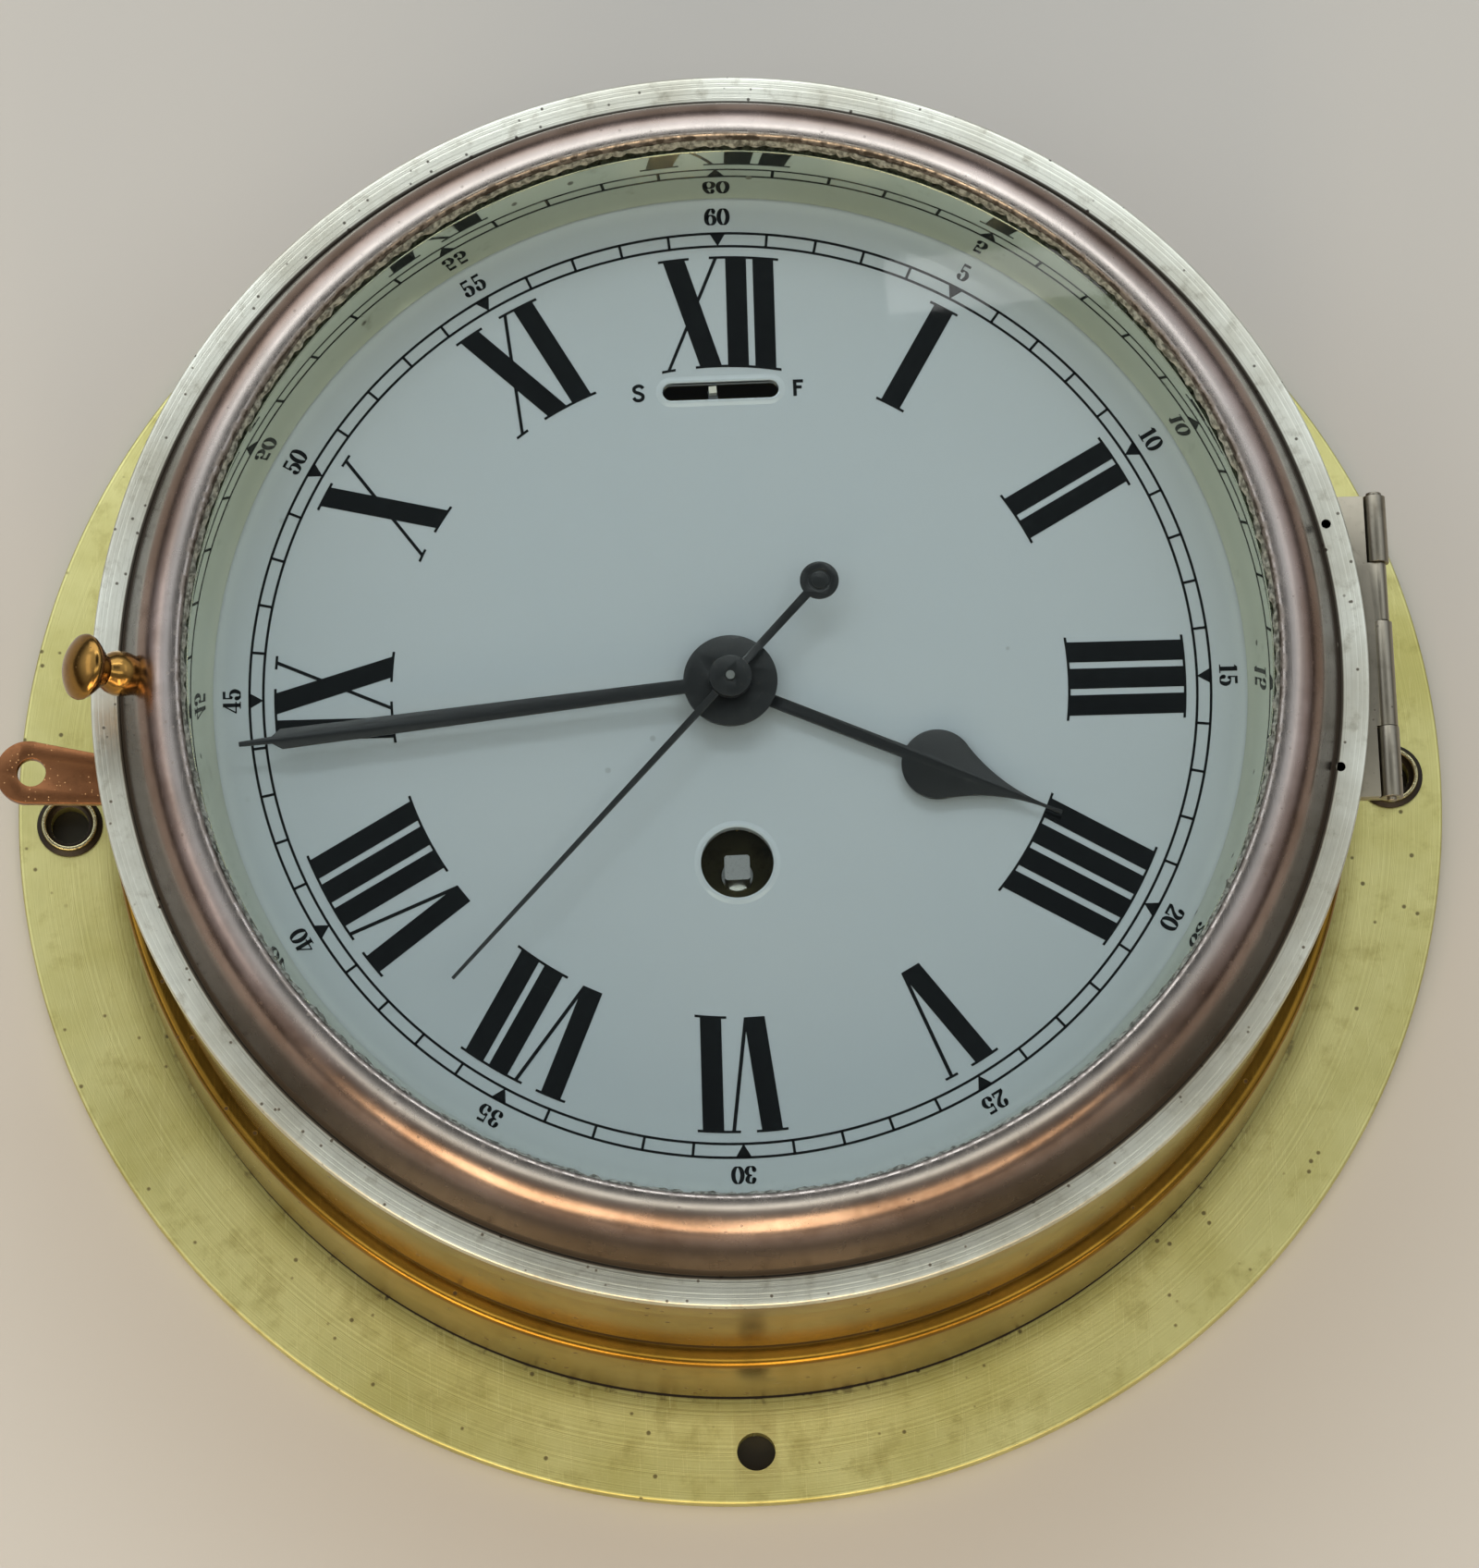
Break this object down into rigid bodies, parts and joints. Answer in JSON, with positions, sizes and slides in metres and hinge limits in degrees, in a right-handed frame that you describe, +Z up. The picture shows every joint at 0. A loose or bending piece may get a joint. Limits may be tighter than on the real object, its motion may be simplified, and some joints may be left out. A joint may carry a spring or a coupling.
{
  "type": "ships deck clock",
  "caption": "Round flanged brass bulkhead clock with a hinged glazed bezel, Roman dial, centre seconds, slow-fast index and a key-wound lever movement inside.",
  "frame": {"origin": "centre of the wall flange's back face, on the dial's axis", "axes": "+Z up through twelve on the dial, the dial faces -Y, +X towards three; +Y points into the wall"},
  "size_m": [0.249, 0.0985, 0.249],
  "materials": {
    "case_brass": "satin, finely scratched yellow brass",
    "worn_nickel": "worn nickel plate on brass, polished roll, pitted rim",
    "knob_brass": "polished golden brass",
    "cup_bronze": "dark tarnished bronze",
    "lever_copper": "copper-brown, rubbed",
    "hinge_nickel": "grey-brown worn nickel",
    "dial_enamel": "glossy off-white enamel",
    "hand_black": "blued black steel",
    "window_glass": "clear, polished",
    "putty": "hardened dark putty",
    "sight_brass": "bright silvered brass",
    "movement_brass": "polished brass",
    "movement_steel": "polished steel",
    "spring_steel": "blued spring steel",
    "index_white": "white painted steel",
    "cover_brass": "dull rolled brass"
  },
  "bodies": {
    "case": {"case_shell": "case_brass", "back_cover": "cover_brass", "back_cover_screws": "movement_steel", "screw_cups": "cup_bronze", "hinge_leaf_case": "hinge_nickel", "hinge_pin": "hinge_nickel", "hinge_screws_case": "hinge_nickel", "latch_pivot_post": "movement_brass", "dial_plate": "dial_enamel", "dial_feet": "movement_brass", "dial_dogs": "movement_brass", "dial_dog_screws": "movement_steel", "movement_posts": "movement_brass", "movement_screws": "movement_steel", "front_plate": "movement_brass", "back_plate": "movement_brass", "plate_pillars": "movement_brass", "plate_screws": "movement_steel", "balance_cock": "movement_brass", "cock_screws": "movement_steel", "click_spring": "spring_steel", "click_screw": "movement_steel"},
    "bezel_door": {"bezel_ring": "worn_nickel", "glass_pane": "window_glass", "glass_gasket": "putty", "sight_ring": "sight_brass", "bezel_knob": "knob_brass", "hinge_leaf_door": "hinge_nickel", "hinge_screws_door": "worn_nickel", "latch_strike": "hinge_nickel"},
    "latch": {"latch_lever": "lever_copper"},
    "regulator": {"regulator_index": "index_white"},
    "balance": {"balance_wheel": "movement_brass", "balance_staff": "movement_steel", "hairspring": "spring_steel"},
    "pallets": {"pallet_fork": "movement_steel"},
    "escape": {"escape_wheel": "movement_brass", "escape_arbor": "movement_steel"},
    "seconds": {"fourth_wheel": "movement_brass", "seconds_arbor": "movement_steel", "seconds_hand": "hand_black"},
    "third": {"third_wheel": "movement_brass", "third_arbor": "movement_steel"},
    "second": {"second_wheel": "movement_brass", "second_arbor": "movement_steel"},
    "intermediate": {"intermediate_wheel": "movement_brass", "intermediate_arbor": "movement_steel"},
    "great": {"barrel": "movement_brass", "barrel_cap": "movement_brass", "mainspring": "spring_steel"},
    "winding": {"winding_arbor": "movement_steel", "ratchet_wheel": "movement_steel"},
    "click_pawl": {"click": "movement_steel"},
    "minutes": {"cannon_pinion": "movement_steel", "minute_hand": "hand_black"},
    "minute_work": {"minute_wheel": "movement_brass"},
    "hours": {"hour_wheel": "movement_brass", "hour_hand": "hand_black"}
  },
  "joints": [
    {"name": "seconds_turn", "type": "hinge", "parent": "case", "child": "seconds", "pos_m": [0, -0.05, 0], "axis": [0, 1, 0], "continuous": true},
    {"name": "minutes_turn", "type": "hinge", "parent": "case", "child": "minutes", "pos_m": [0, -0.066, 0], "axis": [0, 1, 0], "continuous": true},
    {"name": "hours_turn", "type": "hinge", "parent": "case", "child": "hours", "pos_m": [0, -0.07, 0], "axis": [0, 1, 0], "continuous": true},
    {"name": "minute_work_turn", "type": "hinge", "parent": "case", "child": "minute_work", "pos_m": [-0.01231, -0.065, -0.00748], "axis": [0, 1, 0], "continuous": true},
    {"name": "second_turn", "type": "hinge", "parent": "case", "child": "second", "pos_m": [-0.02503, -0.048, -0.00074], "axis": [0, 1, 0], "continuous": true},
    {"name": "third_turn", "type": "hinge", "parent": "case", "child": "third", "pos_m": [-0.0115, -0.05, 0.00419], "axis": [0, 1, 0], "continuous": true},
    {"name": "intermediate_turn", "type": "hinge", "parent": "case", "child": "intermediate", "pos_m": [-0.02112, -0.04, -0.01625], "axis": [0, 1, 0], "continuous": true},
    {"name": "great_turn", "type": "hinge", "parent": "case", "child": "great", "pos_m": [0, -0.048, -0.03], "axis": [0, 1, 0], "continuous": true},
    {"name": "escape_turn", "type": "hinge", "parent": "case", "child": "escape", "pos_m": [0, -0.056, 0.01155], "axis": [0, 1, 0], "continuous": true},
    {"name": "pallet_rock", "type": "hinge", "parent": "case", "child": "pallets", "pos_m": [0, -0.057, 0.0179], "axis": [0, 1, 0], "range_deg": [-5, 5]},
    {"name": "balance_swing", "type": "hinge", "parent": "case", "child": "balance", "pos_m": [0, -0.062, 0.034], "axis": [0, 1, 0], "range_deg": [-220, 220]},
    {"name": "regulator_turn", "type": "hinge", "parent": "case", "child": "regulator", "pos_m": [0, -0.071, 0.034], "axis": [0, 1, 0], "range_deg": [-16, 22]},
    {"name": "winding_turn", "type": "hinge", "parent": "case", "child": "winding", "pos_m": [0, -0.06, -0.03], "axis": [0, 1, 0], "range_deg": [0, 1620]},
    {"name": "click_lift", "type": "hinge", "parent": "case", "child": "click_pawl", "pos_m": [0.01064, -0.064, -0.02169], "axis": [0, 1, 0], "range_deg": [-8, 0]},
    {"name": "latch_turn", "type": "hinge", "parent": "case", "child": "latch", "pos_m": [-0.0955, -0.063, -0.0102], "axis": [0, 1, 0], "range_deg": [-14, 0]},
    {"name": "bezel_hinge", "type": "hinge", "parent": "case", "child": "bezel_door", "pos_m": [0.1086, -0.07755, 0.002], "axis": [0, 0, 1], "range_deg": [0, 110]}
  ],
  "couplings": [
    {"joint": "minutes_turn", "follows": "seconds_turn", "ratio": 0.016667},
    {"joint": "hours_turn", "follows": "seconds_turn", "ratio": 0.0013889},
    {"joint": "minute_work_turn", "follows": "seconds_turn", "ratio": -0.0055556},
    {"joint": "second_turn", "follows": "seconds_turn", "ratio": 0.016667},
    {"joint": "third_turn", "follows": "seconds_turn", "ratio": -0.13333},
    {"joint": "intermediate_turn", "follows": "seconds_turn", "ratio": -0.002381},
    {"joint": "great_turn", "follows": "seconds_turn", "ratio": 0.00039683},
    {"joint": "escape_turn", "follows": "seconds_turn", "ratio": -10}
  ]
}
